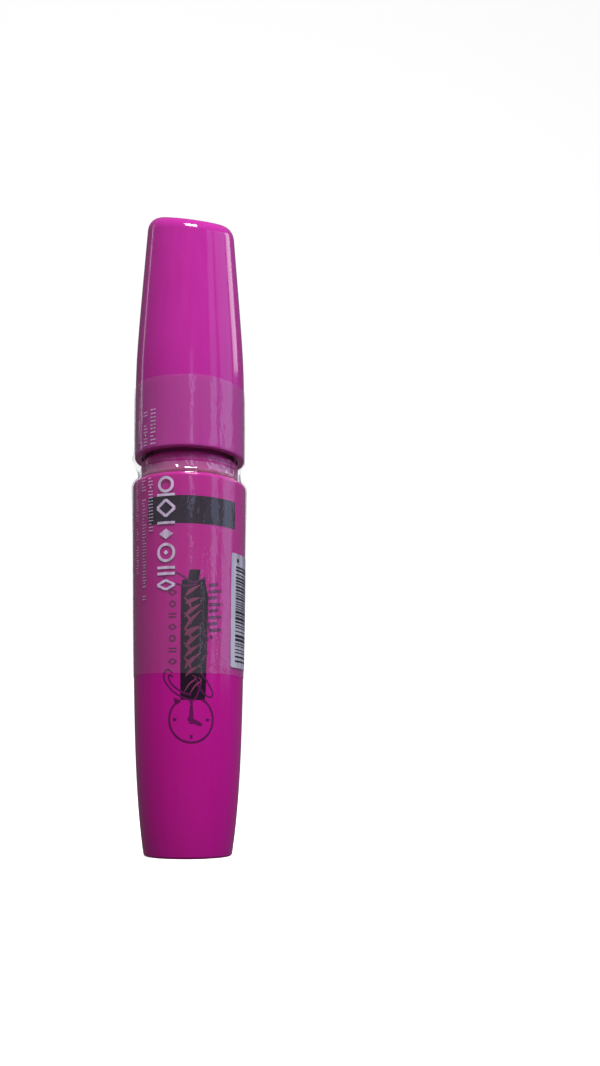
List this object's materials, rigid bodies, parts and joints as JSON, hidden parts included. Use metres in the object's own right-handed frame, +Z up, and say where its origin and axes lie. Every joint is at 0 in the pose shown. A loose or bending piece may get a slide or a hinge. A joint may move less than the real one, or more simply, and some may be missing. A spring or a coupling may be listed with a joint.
{
  "type": "mascara tube",
  "caption": "Tapered glossy mascara bottle with a screw cap that has a slanted flat top and carries a wand with a moulded brush, in a clear shrink sleeve.",
  "frame": {"origin": "centre of the bottle's foot, on the surface it stands on", "axes": "+Z up the tube's axis, -Y out of the printed front"},
  "size_m": [0.0224, 0.0224, 0.124],
  "materials": {
    "bottle": "glossy moulded magenta plastic with black print",
    "mascara_fill": "wet black cream",
    "wiper": "soft black moulding",
    "cap_shell": "glossy moulded magenta plastic",
    "inner_cap": "satin pink plastic",
    "wand_stem": "smooth black plastic",
    "brush": "satin moulded elastomer",
    "shrink_film": "clear heat-shrunk film with white print"
  },
  "bodies": {
    "bottle": {"bottle": "bottle", "mascara_fill": "mascara_fill", "shrink_band_bottle": "shrink_film"},
    "wiper": {"wiper": "wiper"},
    "cap": {"cap_shell": "cap_shell", "inner_cap": "inner_cap", "wand_stem": "wand_stem", "brush": "brush", "shrink_band_cap": "shrink_film"}
  },
  "joints": [
    {"name": "cap_unscrew", "type": "hinge", "parent": "bottle", "child": "wiper", "pos_m": [0, 0, 0.0759], "axis": [0, 0, 1], "range_deg": [0, 540]},
    {"name": "cap_pull", "type": "slide", "parent": "wiper", "child": "cap", "axis": [0, 0, 1], "range_m": [0, 0.09], "deforming": ["wiper"]}
  ]
}
